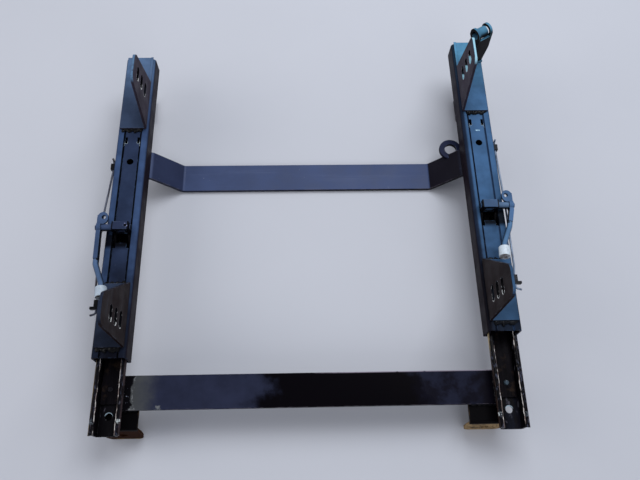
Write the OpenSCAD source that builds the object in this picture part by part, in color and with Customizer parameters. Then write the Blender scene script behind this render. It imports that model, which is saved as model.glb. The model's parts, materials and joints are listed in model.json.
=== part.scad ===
// Seat slide rail frame: two roll-formed slide rails on two flat cross bars.
// Millimetres, +Z up, front of the seat towards -Y. The origin lies on the floor plane,
// half way between the two rear floor bolts.

/* [Rails] */
// Distance between the centre lines of the two rails
rail_spacing = 440.5; // [380:0.5:520]
// Length of the lower rails
lower_len = 430; // [380:5:520]
// Length of the upper rails
upper_len = 405; // [390:1:480]
// Outer width of the upper rail
upper_w = 38.6; // [38.6:0.2:44]
// Height of the upper rail's side walls
upper_h = 26; // [26:0.5:30]
// Sheet thickness of both rails
rail_t = 2; // [1.6:0.1:2.2]
// Outer width of the lower rail's channel
channel_w = 25; // [24.5:0.1:25.5]
// Depth of the lower rail's channel
channel_d = 14; // [13.5:0.1:15]
// Width over the lower rail's outward brims
brim_w = 33.4; // [32:0.1:33.4]
// Drop of the brims' curled edges
brim_curl = 4; // [3:0.5:6]
// Height of the upper rail's top above the brims
ride_h = 12; // [11.5:0.1:13]
// Diameter of the hole near the lower rails' front ends
floor_hole_d = 8; // [6:0.5:10]
// Distance of that hole behind the lower rails' front ends
floor_hole_y = 21; // [18:1:24]
// Height of the lower rails' undersides above the floor
rail_z = 41; // [36:0.5:60]

/* [Slide positions] */
// Pitch of the lock notches
notch_pitch = 12; // [11:0.5:14]
// Notches in the travel of each rail
notch_count = 16; // [10:1:16]
// Setback of the upper rails at the front end of the travel
front_stop = 8; // [6:1:12]
// Notches that the left rail stands back from the front end
left_notch = 6; // [0:1:10]
// Notches that the right rail stands back from the front end
right_notch = 8; // [0:1:10]

/* [Upper rail forming] */
// Distance of each long groove from the rail's centre line
groove_u = 10; // [9.5:0.1:11]
// Depth of the long grooves
groove_d = 2; // [1:0.1:2.5]
// Depth of the recessed panel between the grooves
panel_d = 0.8; // [0.4:0.1:1.2]
// Outer radius of the rail's shoulders
shoulder_r = 4; // [3:0.5:5]
// Inward reach of the lips under the brims
lip_w = 5.3; // [4.5:0.1:5.6]
// Diameter of the round hole in the panel
panel_hole_d = 8.5; // [4:0.5:9]
// Distance of the round hole behind the rail's front end
panel_hole_y = 247; // [230:1:265]

/* [Seat brackets] */
// Sheet thickness of the seat brackets
bracket_t = 3; // [2:0.1:4]
// Distance of the front bracket behind the rail's front end
front_bracket_y = 11; // [4:1:16]
// Length of the front bracket's flange
front_bracket_len = 74; // [66:1:80]
// Height of the front bracket's plate
front_plate_h = 94; // [84:1:110]
// Distance of the rear bracket's front edge behind the rail's front end
rear_bracket_y = 294; // [288:1:300]
// Height of the rear bracket's plate
rear_plate_h = 82; // [78:1:100]
// Distance between the front and rear seat bolt slots
seat_bolt_spacing = 300; // [296:0.5:304]
// Height of the lowest slot row above the rail's top
slot_base_h = 27; // [22:1:29]
// Height between the slot rows
slot_row_h = 18; // [16:0.5:19]
// Setback of each slot row behind the row above it
slot_stagger = 2; // [0:0.5:3]
// Length of the slots
slot_len = 19; // [14:0.5:20]
// Width of the slots
slot_w = 8.5; // [6.5:0.1:10.5]

/* [Cross bars] */
// Width of the flat bars
bar_w = 38; // [30:1:42]
// Thickness of the flat bars
bar_t = 4.5; // [3:0.1:6]
// Distance of the front bar behind the lower rails' front ends
front_bar_y = 28; // [26:1:40]
// Distance of the rear bar ahead of the lower rails' rear ends
rear_bar_inset = 73; // [40:1:110]
// Drop of the rear bar's middle
rear_bar_drop = 36; // [20:0.5:36]
// Half width of the rear bar's dropped middle
rear_bar_half = 165; // [120:1:172]
// Reach of the bars under each rail's centre line
bar_end = 12; // [6:1:14]

/* [Feet] */
// Sheet thickness of the feet
foot_t = 3.2; // [2.5:0.1:4]
// Width of the feet
foot_w = 40; // [30:1:44]
// Extra width of the front feet's flared flanges
foot_flare = 2; // [0:1:8]
// Angle of the left front foot's flange below level
left_flange_angle = 82; // [70:1:88]
// Angle of the right front foot's flange below level
right_flange_angle = 87; // [70:1:88]
// Distance of the front feet's bends behind the lower rails' front ends
foot_bend_y = 9; // [6:1:20]
// Distance of the left front foot inside its rail's centre line
left_foot_in = 10.5; // [8:0.5:24]
// Distance of the right front foot inside its rail's centre line
right_foot_in = 23.5; // [16:0.5:34]
// Diameter of the front floor bolt holes
front_bolt_d = 10.5; // [8.5:0.5:12.5]
// Diameter of the rear floor bolt holes
rear_bolt_d = 11; // [8.5:0.5:13]
// Distance of the rear feet outside the rails' centre lines
rear_foot_out = 7; // [0:0.5:10]
// Distance of the rear floor bolts behind the lower rails
rear_bolt_gap = 17; // [15:1:25]

/* [Lock] */
// Distance of the lever pivot behind the upper rail's front end
pivot_y = 154; // [140:1:180]
// Height of the lever pivot above the rail's top
pivot_h = 5; // [4.5:0.5:6]
// Diameter of the pivot pin
pin_d = 6; // [5:0.5:7]
// Sheet thickness of the claw
claw_t = 2.5; // [2:0.1:2.8]
// Width over the claw's two legs
claw_w = 19.4; // [18.6:0.1:19.6]
// Distance of the teeth in front of the pivot
tooth_y = 20; // [18:0.5:22]
// Length of a tooth along the rail
tooth_len = 4; // [3:0.1:4.5]
// Height of the teeth over the rack when the lever hangs at rest
tooth_clear = 0.4; // [0.3:0.1:0.8]
// Thickness of the lock rack
rack_t = 3; // [2.5:0.1:3.5]
// Width of the lock rack
rack_w = 19.8; // [19:0.1:20.2]
// Length of a lock notch
notch_len = 8; // [7.5:0.1:8.5]
// Distance of the rack behind the lower rails' front ends
rack_y = 34; // [32:1:44]
// Length of the lock rack
rack_len = 350; // [340:1:380]
// Diameter of the rack rivets
rivet_d = 4; // [3:0.5:5]

/* [Levers] */
// Distance of the levers outside the rails' centre lines
lever_u = 25.5; // [25:0.5:30]
// Thickness of the lever arms
lever_t = 5; // [4:0.5:6]
// Height of the lever arms
lever_h = 8; // [6:0.5:9]
// Length of the left lever arm from its pivot
left_arm_len = 42; // [34:1:48]
// Length of the right lever arm from its pivot
right_arm_len = 24; // [20:1:40]
// Bend of the left lever arm towards its rail
left_arm_angle = 4; // [0:1:8]
// Bend of the right lever arm towards its rail
right_arm_angle = 15; // [8:1:18]
// Distance of the left handle bush inside its lever arm's hub
left_bush_in = 14.5; // [12:0.5:18]
// Distance of the right handle bush inside its lever arm's hub
right_bush_in = 19; // [15:0.5:20]
// Diameter of the lever rods
rod_d = 6.5; // [5:0.5:8]
// Forward run of the bent rods
rod_run = 27; // [22:1:36]
// Rise of the bent rods
rod_rise = 13; // [12:1:20]
// Diameter of the handle bushes
bush_d = 13; // [11:0.5:16]
// Length of the handle bushes
bush_len = 17; // [12:1:24]

/* [Return springs] */
// Diameter of the spring wires
wire_d = 2.4; // [1.6:0.1:2.6]
// Distance of the rear ends of the wires behind the upper rails' front ends
wire_rear_y = 246; // [230:1:265]
// Distance of the front ends of the wires behind the upper rails' front ends
wire_front_y = 60; // [48:1:70]

/* [Belt parts] */
// Outer diameter of the belt ring
ring_d = 30; // [24:1:32]
// Bore of the belt ring
ring_bore = 16; // [12:0.5:19]
// Thickness of the belt ring
ring_t = 5; // [4:0.5:8]
// Height of the buckle stay's bore above the rail's top
stay_h = 49.5; // [40:0.5:70]
// Width over the buckle stay's ears
stay_w = 21.5; // [16:0.5:24]
// Bore of the buckle stay
stay_bore = 10.5; // [8:0.5:12]
// Backward lean of the buckle stay
stay_lean = 3; // [0:1:15]
// Turn of the buckle stay about its upright
stay_turn = 30; // [0:1:35]
// Distance of the buckle stay ahead of the rail's rear end
stay_inset = 33; // [20:1:36]

/* [Hidden] */
$fn = 40;
eps = 0.01;
run_gap = 0.05;
slide_gap = 0.3;
rail_x = rail_spacing / 2;
rail_front = -lower_len - rear_bolt_gap;
channel_z = rail_z + rail_t;
brim_z = channel_z + channel_d;
top_z = brim_z + ride_h;
wall_z = top_z - upper_h;
left_open = front_stop + left_notch * notch_pitch;
right_open = front_stop + right_notch * notch_pitch;
pivot_z = top_z + pivot_h;
rack_top = channel_z + rack_t;
tooth_drop = pivot_z - rack_top - tooth_clear;
slot_lead = 1.6;
first_notch = front_stop + pivot_y - tooth_y + slot_lead;
leg_out = claw_w / 2;
leg_in = leg_out - claw_t;
plate_inset = 2.1;
plate_u = plate_inset - upper_w / 2;
panel_z = top_z - panel_d;
rear_bar_y = lower_len - rear_bar_inset - bar_w;
knee_in = 20;
knee_x = rail_x - knee_in;
steel_black = [0.10, 0.12, 0.16];
bar_black = [0.15, 0.17, 0.22];
worn_brown = [0.24, 0.17, 0.12];
bare_steel = [0.55, 0.55, 0.55];
bush_white = [0.85, 0.88, 0.90];
glide_white = [0.80, 0.78, 0.70];

// Outline helpers: a polygon from points [x, y, corner radius].
function unit(v) = v / norm(v);
function corner(p, a, b, r, steps) =
    let (va = unit(a - p), vb = unit(b - p), half = acos(va * vb) / 2)
    let (c = p + unit(va + vb) * r / sin(half), foot = r / tan(half))
    let (s = p + va * foot - c, e = p + vb * foot - c)
    let (a0 = atan2(s.y, s.x), turn = atan2(e.y, e.x) - a0)
    let (sweep = turn > 180 ? turn - 360 : turn < -180 ? turn + 360 : turn)
    [for (i = [0:steps]) c + r * [cos(a0 + sweep * i / steps), sin(a0 + sweep * i / steps)]];
function outline(pts, steps = 5) =
    let (n = len(pts))
    [for (i = [0:n - 1])
        let (p = [pts[i].x, pts[i].y], q = pts[(i + n - 1) % n], w = pts[(i + 1) % n])
        each pts[i].z > 0 ? corner(p, [q.x, q.y], [w.x, w.y], pts[i].z, steps) : [p]];
function mirrored(half) =
    concat(half, [for (i = [len(half) - 1:-1:0]) [-half[i].x, half[i].y, half[i].z]]);

// A section in X and Z drawn along +Y.
module along_y(length) {
    translate([0, length, 0]) rotate([90, 0, 0]) linear_extrude(length) children();
}
// An outline in Y and Z drawn along +X.
module along_x(length) {
    rotate([90, 0, 90]) linear_extrude(length) children();
}
module rod_x(d, length) {
    rotate([0, 90, 0]) cylinder(d = d, h = length);
}
// A slot along Y through a plate that faces X.
module slot_x(length, width, depth) {
    run = (length - width) / 2;
    for (side = [-1, 1]) translate([0, side * run, 0]) rod_x(width, depth);
    translate([0, -run, -width / 2]) cube([depth, 2 * run, width]);
}
// A round bar from one point to another.
module bar_between(a, b, d) {
    v = b - a;
    translate(a) rotate([0, acos(v.z / norm(v)), atan2(v.y, v.x)]) cylinder(d = d, h = norm(v));
}
// Places a right-hand piece: X counts outwards from the rail's centre line,
// Y backwards from the lower rail's front end.
module right_rail() {
    translate([rail_x, rail_front, 0]) children();
}
module left_rail() {
    mirror([1, 0, 0]) right_rail() children();
}
module right_slider() {
    translate([0, right_open, 0]) right_rail() children();
}
module left_slider() {
    translate([0, left_open, 0]) left_rail() children();
}

// Lower rail: an open channel with outward brims curled down at their edges.
module lower_rail() {
    wall = channel_w / 2;
    half = [
        [wall, rail_z, 2.5], [wall, brim_z - rail_t, 0.8],
        [brim_w / 2 - rail_t, brim_z - rail_t, 0.4], [brim_w / 2 - rail_t, brim_z - brim_curl, 0],
        [brim_w / 2, brim_z - brim_curl, 0], [brim_w / 2, brim_z, 2.4],
        [wall - rail_t, brim_z, 2.4], [wall - rail_t, channel_z, 0.5]];
    difference() {
        along_y(lower_len) polygon(outline(mirrored(half)));
        translate([0, floor_hole_y, rail_z - 1]) cylinder(d = floor_hole_d, h = rail_t + 2);
        for (y = rivet_places) translate([0, y, rail_z - 1])
            cylinder(d = rivet_d + 2 * run_gap, h = rail_t + 2);
    }
    // Crimped stops on the front ends of the brims
    crimp_y = 14;
    crimp_d = 4.4;
    crimp_h = 2;
    crimp_u = (brim_w - crimp_d + channel_w) / 4;
    for (side = [-1, 1]) translate([side * crimp_u, crimp_y, brim_z - rail_t / 4])
        cylinder(d1 = crimp_d, d2 = crimp_d - crimp_h, h = crimp_h + rail_t / 4);
}
rivet_count = 6;
rivet_inset = 16;
rivet_places = [for (i = [0:rivet_count - 1])
    rack_y + rivet_inset + i * (rack_len - 2 * rivet_inset) / (rivet_count - 1)];

// Lock rack: a flat strip with notches along both edges.
module lock_rack() {
    notch_in = leg_in - 0.6;
    difference() {
        translate([-rack_w / 2, rack_y, channel_z]) cube([rack_w, rack_len, rack_t]);
        for (i = [0:notch_count], side = [-1, 1])
            translate([side * (notch_in + rack_w / 2), first_notch + i * notch_pitch, channel_z])
                cube([rack_w, notch_len, 4 * rack_t], center = true);
        for (y = rivet_places) translate([0, y, channel_z - 1])
            cylinder(d = rivet_d + 2 * run_gap, h = rack_t + 2);
    }
}
module rack_rivets() {
    head = 1.6;
    for (y = rivet_places) translate([0, y, 0]) {
        translate([0, 0, rail_z]) cylinder(d = rivet_d, h = rail_t + rack_t + eps);
        translate([0, 0, rack_top]) cylinder(d1 = rivet_d + 2.6, d2 = rivet_d + 0.6, h = head);
    }
}

// Upper rail: an inverted channel whose lips close in under the brims.
module upper_rail() {
    wall = upper_w / 2;
    inner = wall - rail_t;
    half = [
        [groove_u - 1, panel_z, 0], [groove_u, top_z - groove_d, 0.4], [groove_u + 1, top_z, 0.4],
        [wall, top_z, shoulder_r], [wall, wall_z, 2.5], [wall - lip_w, wall_z, 0.6],
        [wall - lip_w, wall_z + rail_t, 0.6], [inner, wall_z + rail_t, 0.5],
        [inner, top_z - rail_t, shoulder_r - rail_t], [groove_u + 1.6, top_z - rail_t, 0],
        [groove_u, top_z - groove_d - rail_t, 0], [groove_u - 1.6, panel_z - rail_t, 0]];
    leg_ahead = tooth_y + 4;
    leg_behind = 7;
    leg_slot_w = claw_t + 1.4;
    window_len = 12;
    lance_y = rear_bracket_y - 16;
    lance = [3, 9];
    through = 8;
    difference() {
        along_y(upper_len) polygon(outline(mirrored(half)));
        translate([0, panel_hole_y, panel_z - through]) cylinder(d = panel_hole_d, h = 2 * through);
        // Slots for the claw's legs
        for (side = [-1, 1])
            translate([side * (leg_in + leg_out) / 2, pivot_y + (leg_behind - leg_ahead) / 2, top_z])
                cube([leg_slot_w, leg_ahead + leg_behind, 2 * through], center = true);
        // Window between the claw's legs, ahead of the saddle
        translate([0, pivot_y - pivot_h - window_len / 2, top_z])
            cube([2 * leg_in, window_len, 2 * through], center = true);
        // Lanced slots in front of the rear bracket
        for (side = [-1, 1]) translate([side * (groove_u - 2.5), lance_y, top_z])
            cube([lance.x, lance.y, 2 * through], center = true);
    }
}

// Seat bracket: an L of sheet with its flange on the rail and its plate at the inner edge.
flange_inset = 2.5;
module bracket_blank(y, length, height) {
    flange_u = upper_w / 2 - flange_inset;
    section = [
        [plate_u, top_z, bracket_t + 1], [flange_u, top_z, 0], [flange_u, top_z + bracket_t, 1],
        [plate_u + bracket_t, top_z + bracket_t, 1], [plate_u + bracket_t, top_z + height, 0.6],
        [plate_u, top_z + height, 0.6]];
    translate([0, y, 0]) along_y(length) polygon(outline(section));
}
module seat_slots(y) {
    for (row = [0:2])
        translate([plate_u - 1, y - row * slot_stagger, top_z + slot_base_h + row * slot_row_h])
            slot_x(slot_len, slot_w, bracket_t + 2);
}
front_slot_back = 24;
front_slot_y = front_bracket_y + front_slot_back;
plate_r = 9;
module front_bracket() {
    y0 = front_bracket_y;
    y1 = y0 + front_bracket_len;
    head_len = 32;
    shape = [
        [y0, top_z - 1, 0], [y1, top_z - 1, 0], [y1, top_z + 2 * bracket_t, 2],
        [y0 + head_len, top_z + front_plate_h, plate_r], [y0, top_z + front_plate_h, plate_r]];
    difference() {
        intersection() {
            bracket_blank(y0, front_bracket_len, front_plate_h);
            translate([plate_u - 1, 0, 0]) along_x(upper_w + 2) polygon(outline(shape));
        }
        seat_slots(front_slot_y);
    }
}
module rear_bracket() {
    y0 = rear_bracket_y;
    y1 = upper_len;
    plate_back = y0 + 70;
    taper = 16;
    ledge = top_z + bracket_t + 1;
    shape = [
        [y0, top_z - 1, 0], [y1, top_z - 1, 0], [y1, ledge, 0],
        [plate_back, ledge, 4], [plate_back - taper, top_z + rear_plate_h, plate_r],
        [y0 + taper, top_z + rear_plate_h, plate_r], [y0, ledge, 2]];
    difference() {
        intersection() {
            bracket_blank(y0, y1 - y0, rear_plate_h);
            translate([plate_u - 1, 0, 0]) along_x(upper_w + 2) polygon(outline(shape));
        }
        seat_slots(front_slot_y + seat_bolt_spacing);
    }
}

// Plastic glides: upper pads carry the rail on the brims, lower pads hold it down.
module glides() {
    pad_len = 40;
    pad_inset = 18;
    upper_pad = 3.2;
    lower_pad = 2.6;
    wall = upper_w / 2 - rail_t;
    lower_out = wall - 0.6;
    upper_out = wall - (shoulder_r - rail_t);
    upper_h0 = brim_z + slide_gap;
    lower_top = brim_z - brim_curl - slide_gap;
    lip_z = wall_z + rail_t;
    for (y = [pad_inset, upper_len - pad_len - pad_inset], side = [-1, 1]) {
        translate([side * (upper_out - upper_pad / 2), y + pad_len / 2, (upper_h0 + top_z - rail_t) / 2])
            cube([upper_pad, pad_len, top_z - rail_t - upper_h0], center = true);
        translate([side * (lower_out - lower_pad / 2), y + pad_len / 2, (lip_z + lower_top) / 2])
            cube([lower_pad, pad_len, lower_top - lip_z], center = true);
    }
}

// Flat cross bars under the lower rails.
module front_cross_bar() {
    reach = rail_x + bar_end;
    color(bar_black) translate([-reach, rail_front + front_bar_y, rail_z - bar_t])
        cube([2 * reach, bar_w, bar_t]);
}
slope = atan2(rear_bar_drop, knee_x - rear_bar_half);
module rear_cross_bar() {
    reach = rail_x + bar_end;
    low = rail_z - rear_bar_drop;
    shift = bar_t * tan(slope / 2);
    bend = 5;
    half = [
        [rear_bar_half, low, bend], [knee_x, rail_z, bend + bar_t], [reach, rail_z, 0],
        [reach, rail_z - bar_t, 0], [knee_x + shift, rail_z - bar_t, bend],
        [rear_bar_half + shift, low - bar_t, bend + bar_t]];
    color(bar_black) translate([0, rail_front + rear_bar_y, 0])
        along_y(bar_w) polygon(outline(mirrored(half)));
}

// Front foot: a plate under the front bar, bent down into a flared flange with a bolt hole.
foot_top = rail_z - bar_t;
flange_z = foot_top - foot_t / 2;
flange_hole = 20;
module front_foot(inside, angle) {
    half = foot_w / 2;
    wide = half + foot_flare / 2;
    plate_back = front_bar_y + bar_w;
    thick = foot_t / 2;
    turn = tan(angle / 2) * thick;
    outer = foot_bend_y - turn;
    inner = foot_bend_y + turn;
    fall = 1 / tan(angle);
    side_view = [
        [plate_back, foot_top, 0], [outer, foot_top, foot_t], [outer - foot_top * fall, 0, 0],
        [inner - (foot_top - foot_t) * fall, 0, 0], [inner, foot_top - foot_t, 0.6],
        [plate_back, foot_top - foot_t, 0]];
    front_view = [
        [half, foot_top + 1, 0], [half, foot_top - 8, 6], [wide, foot_top - 16, 6], [wide, -1, 10],
        [-wide, -1, 10], [-wide, foot_top - 16, 6], [-half, foot_top - 8, 6], [-half, foot_top + 1, 0]];
    translate([-inside, 0, 0]) difference() {
        intersection() {
            translate([-foot_w, 0, 0]) along_x(2 * foot_w) polygon(outline(side_view));
            translate([0, foot_bend_y - foot_w, 0]) along_y(plate_back + foot_w) polygon(outline(front_view));
        }
        translate([0, foot_bend_y, flange_z]) rotate([angle, 0, 0]) translate([0, -flange_hole, -foot_t])
            cylinder(d = front_bolt_d, h = 2 * foot_t);
    }
}

// Rear foot: a step from the lower rail's end down to the floor, with an upright bolt hole.
module rear_foot() {
    width = 28;
    tab = 34;
    past_bolt = 16;
    shelf = rear_bolt_gap + past_bolt;
    step = [
        [lower_len - tab, rail_z, 0], [lower_len - tab, rail_z - foot_t, 0],
        [lower_len - foot_t, rail_z - foot_t, 1], [lower_len - foot_t, 0, foot_t + 1],
        [lower_len + shelf, 0, 0], [lower_len + shelf, foot_t, 0],
        [lower_len, foot_t, 1], [lower_len, rail_z, foot_t + 1]];
    difference() {
        translate([rear_foot_out - width / 2, 0, 0]) along_x(width) polygon(outline(step));
        translate([rear_foot_out, lower_len + rear_bolt_gap, -1]) cylinder(d = rear_bolt_d, h = foot_t + 2);
    }
}

// Belt ring: a flat eye behind the rear bar's right slope, fitted around the slope's rear edge.
ring_along = 0.8;
ring_x = rear_bar_half + ring_along * (knee_x - rear_bar_half);
ring_y = rail_front + rear_bar_y + bar_w + ring_bore / 2 + slide_gap;
ring_z = rail_z - (knee_x - ring_x) * tan(slope) - bar_t / cos(slope) - slide_gap;
module belt_ring() {
    edge = 1.2;
    inside = ring_bore / 2;
    section = [
        [inside, -ring_t / 2, 0], [ring_d / 2, -ring_t / 2, edge],
        [ring_d / 2, ring_t / 2, edge], [inside, ring_t / 2, 0]];
    difference() {
        translate([ring_x, ring_y, ring_z]) rotate_extrude() polygon(outline(section));
        rear_cross_bar();
    }
}

// Pivot saddle: a folded U on the rail's panel whose two ears hold the pivot pin.
saddle_w = 2 * leg_in - 1.2;
module pivot_saddle() {
    sheet = 2;
    ear_r = pivot_h - 1;
    difference() {
        union() {
            translate([-saddle_w / 2, pivot_y - ear_r, panel_z]) cube([saddle_w, 2 * ear_r, sheet]);
            for (u = [-saddle_w / 2, saddle_w / 2 - sheet]) translate([u, pivot_y, 0]) {
                translate([0, -ear_r, panel_z]) cube([sheet, 2 * ear_r, pivot_z - panel_z]);
                translate([0, 0, pivot_z]) rod_x(2 * ear_r, sheet);
            }
        }
        translate([-saddle_w, pivot_y, pivot_z]) rod_x(pin_d + 2 * run_gap, 2 * saddle_w);
    }
}
pin_in = leg_out + 0.6;
module pivot_pin() {
    head = 1.2;
    translate([-pin_in, pivot_y, pivot_z]) rod_x(pin_d, pin_in + lever_u + lever_t / 2 + 2);
    translate([-pin_in - head, pivot_y, pivot_z]) rod_x(pin_d + 2, head);
}

// Lock claw: a bridge over the saddle with two legs through the rail, each with a tooth.
module lock_claw() {
    bridge = 2.5;
    clear = 0.6;
    hub = pivot_h - 1 + clear;
    leg = [
        [5, hub + bridge, 1], [-5, hub + bridge, 1], [-6, -6, 4], [-tooth_y - tooth_len / 2, -15, 3],
        [-tooth_y - tooth_len / 2, -tooth_drop, 0], [-tooth_y + tooth_len / 2, -tooth_drop, 0],
        [-tooth_y + tooth_len / 2, -19, 2], [0, -7, 5], [5, -1, 3]];
    translate([0, pivot_y, pivot_z]) difference() {
        union() {
            for (u = [-leg_out, leg_in]) translate([u, 0, 0]) along_x(claw_t) polygon(outline(leg));
            translate([-leg_out, -5, hub]) cube([claw_w, 10, bridge]);
        }
        translate([-claw_w, 0, 0]) rod_x(pin_d + 2 * run_gap, 2 * claw_w);
    }
}
module pivot_sleeve() {
    length = lever_u - lever_t / 2 - leg_out;
    translate([leg_out, pivot_y, pivot_z]) difference() {
        rod_x(pin_d + 2.6, length);
        translate([-1, 0, 0]) rod_x(pin_d + 2 * run_gap, length + 2);
    }
}

// Lever arm: a stamped strip bent in and up ahead of the pivot, with a flat eye turned in behind it.
arm_bend = 7;
arm_up = 8;
module lever_arm(reach, angle) {
    hub = 12;
    eye = 11;
    eye_back = 12;
    eye_in = 4.5;
    tail = eye_back + 3;
    run = reach - arm_bend;
    wide = lever_t / 2;
    tall = lever_h / 2;
    turn = wide * tan(angle / 2);
    lift = tall * tan(arm_up / 2);
    tip = [-run * sin(angle), -arm_bend - run * cos(angle)];
    square = wide * [cos(angle), -sin(angle)];
    past = 2 * reach;
    plan = [
        [wide, tail], [-wide, tail], [-wide, turn - arm_bend], tip - square, tip + square, [wide, -turn - arm_bend]];
    side_view = [
        [tail, tall], [lift - arm_bend, tall], [-arm_bend - past, tall + past * tan(arm_up)],
        [-arm_bend - past, past * tan(arm_up) - tall], [-lift - arm_bend, -tall], [0, -tall], [tail, -1]];
    translate([lever_u, pivot_y, pivot_z]) difference() {
        union() {
            intersection() {
                translate([0, 0, -past]) linear_extrude(3 * past) polygon(plan);
                translate([-past, 0, 0]) along_x(2 * past) polygon(side_view);
            }
            translate([-wide, 0, 0]) rod_x(hub, lever_t);
            translate([-eye_in, eye_back, tall - 3]) cylinder(d = eye, h = 3);
        }
        translate([-lever_t, 0, 0]) rod_x(pin_d + 2 * run_gap, 2 * lever_t);
        translate([-eye_in - 0.6, eye_back, -lever_h]) cylinder(d = 5, h = 2 * lever_h);
    }
}
// Lever rod: a round bar bent inwards and up from the arm to the bush.
lead = 6;
rod_step = 0.5;
function arm_way(angle) = unit([-sin(angle), -cos(angle), cos(angle) * tan(arm_up)]);
function rod_start(reach, angle) =
    let (run = reach - arm_bend)
    [lever_u - run * sin(angle), pivot_y - arm_bend - run * cos(angle), pivot_z + run * cos(angle) * tan(arm_up)]
        + rod_step * arm_way(angle);
function rod_bend(reach, angle) = rod_start(reach, angle) + lead * arm_way(angle);
function rod_end(reach, angle, inward) =
    [lever_u - inward, rod_bend(reach, angle).y - rod_run, pivot_z + rod_rise];
bush_dir = unit([-2.5, -20, 3]);
module lever_rod(reach, angle, inward) {
    start = rod_start(reach, angle);
    bend = rod_bend(reach, angle);
    end = rod_end(reach, angle, inward);
    tip = end + (bush_len - 2.5) * bush_dir;
    knuckle = rod_d + 0.3;
    bar_between(start, bend, rod_d);
    translate(bend) sphere(d = knuckle);
    bar_between(bend, end, rod_d);
    translate(end) sphere(d = knuckle);
    bar_between(end, tip, rod_d);
}
// Handle bush: a plastic cup pressed on the rod's end.
module lever_bush(reach, angle, inward) {
    edge = 1.2;
    bore = rod_d / 2 + run_gap;
    mouth = rod_d / 2 + 0.6;
    section = [
        [0, bush_len - 2.5, 0], [bore, bush_len - 2.5, 0], [bore, mouth, 0], [bush_d / 2, mouth, edge],
        [bush_d / 2, bush_len, edge], [0, bush_len, 0]];
    translate(rod_end(reach, angle, inward)) rotate([0, acos(bush_dir.z), atan2(bush_dir.y, bush_dir.x)])
        rotate_extrude() polygon(outline(section));
}

// Return spring: a straight wire outside the rail, held by a clip behind and a tab in front.
wire_u = upper_w / 2 + wire_d / 2 + 0.7;
wire_z = top_z - shoulder_r - wire_d / 2 - 1;
clip_len = 8;
module return_spring() {
    translate([wire_u, wire_rear_y, wire_z]) rotate([90, 0, 0])
        cylinder(d = wire_d, h = wire_rear_y - wire_front_y);
}
module spring_holder(y) {
    wall = upper_w / 2;
    reach = wire_u + wire_d / 2 + 1.6 - wall;
    tall = wire_d + 3.2;
    translate([0, y, 0]) difference() {
        translate([wall, -clip_len / 2, wire_z - tall / 2]) cube([reach, clip_len, tall]);
        translate([wire_u, clip_len, wire_z]) rotate([90, 0, 0])
            cylinder(d = wire_d + 2 * run_gap, h = 2 * clip_len);
    }
}
module spring_clip() {
    spring_holder(wire_rear_y - clip_len / 2);
}
module spring_tab() {
    wall = upper_w / 2;
    foot = 9;
    spring_holder(wire_front_y + clip_len / 2);
    translate([wall, wire_front_y - 3, wire_z - wire_d]) cube([foot, 3, 2 * wire_d]);
}

// Buckle stay: a channel at the rear end of the right rail with two ears for the buckle's bolt.
stay_u = 13;
stay_y = upper_len - stay_inset;
stay_z = top_z + bracket_t;
stay_sheet = 3;
ear_r = 9;
stay_rise = (stay_h - bracket_t) / cos(stay_lean);
module stay_place() {
    translate([stay_u, stay_y, stay_z]) rotate([-stay_lean, 0, stay_turn]) children();
}
module buckle_stay() {
    half = stay_w / 2;
    base = 4;
    sunk = 4;
    waist = stay_rise / 2;
    web_top = stay_rise - stay_bore / 2 + 1.5;
    web = [
        [-base, -sunk, 0], [base, -sunk, 0], [half, waist, 3], [half, web_top, 0],
        [-half, web_top, 0], [-half, waist, 3]];
    ear = [
        [0, waist, 0], [0, stay_rise, 0], [2 * ear_r, stay_rise, 0],
        [2 * ear_r, stay_rise - ear_r / 2, 0], [stay_sheet, waist, 0]];
    difference() {
        union() {
            intersection() {
                stay_place() translate([0, stay_sheet, 0]) rotate([90, 0, 0])
                    linear_extrude(stay_sheet) polygon(outline(web));
                translate([stay_u - stay_w, stay_y - stay_w, stay_z])
                    cube([2 * stay_w, 2 * stay_w, 2 * stay_h]);
            }
            stay_place() for (u = [-half, half - stay_sheet]) translate([u, 0, 0]) {
                along_x(stay_sheet) polygon(outline(ear));
                translate([0, ear_r, stay_rise]) rod_x(2 * ear_r, stay_sheet);
            }
        }
        stay_place() translate([-stay_w, ear_r, stay_rise]) rod_x(stay_bore, 2 * stay_w);
    }
}
module buckle_collar() {
    gap = stay_w - 2 * stay_sheet;
    free = 2.4;
    stay_place() translate([-gap / 2, ear_r, stay_rise]) difference() {
        rod_x(stay_bore + 3, gap - free);
        translate([-1, 0, 0]) rod_x(stay_bore, gap + 2);
    }
}

color(steel_black) left_rail() lower_rail();  // left_lower_rail
color(steel_black) right_rail() lower_rail();  // right_lower_rail
color(worn_brown) left_rail() lock_rack();  // left_lock_rack
color(worn_brown) right_rail() lock_rack();  // right_lock_rack
color(bare_steel) left_rail() rack_rivets();  // left_rack_rivets
color(bare_steel) right_rail() rack_rivets();  // right_rack_rivets
front_cross_bar();
rear_cross_bar();
color(worn_brown) left_rail()  // left_front_foot
    front_foot(left_foot_in, left_flange_angle);
color(worn_brown) right_rail()  // right_front_foot
    front_foot(right_foot_in, right_flange_angle);
color(steel_black) left_rail() rear_foot();  // left_rear_foot
color(steel_black) right_rail() rear_foot();  // right_rear_foot
color(steel_black) belt_ring();
color(steel_black) left_slider() upper_rail();  // left_upper_rail
color(steel_black) right_slider() upper_rail();  // right_upper_rail
color(steel_black) left_slider() front_bracket();  // left_front_bracket
color(steel_black) right_slider() front_bracket();  // right_front_bracket
color(steel_black) left_slider() rear_bracket();  // left_rear_bracket
color(steel_black) right_slider() rear_bracket();  // right_rear_bracket
color(glide_white) left_slider() glides();  // left_glides
color(glide_white) right_slider() glides();  // right_glides
color(steel_black) left_slider() pivot_saddle();  // left_pivot_saddle
color(steel_black) right_slider() pivot_saddle();  // right_pivot_saddle
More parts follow.
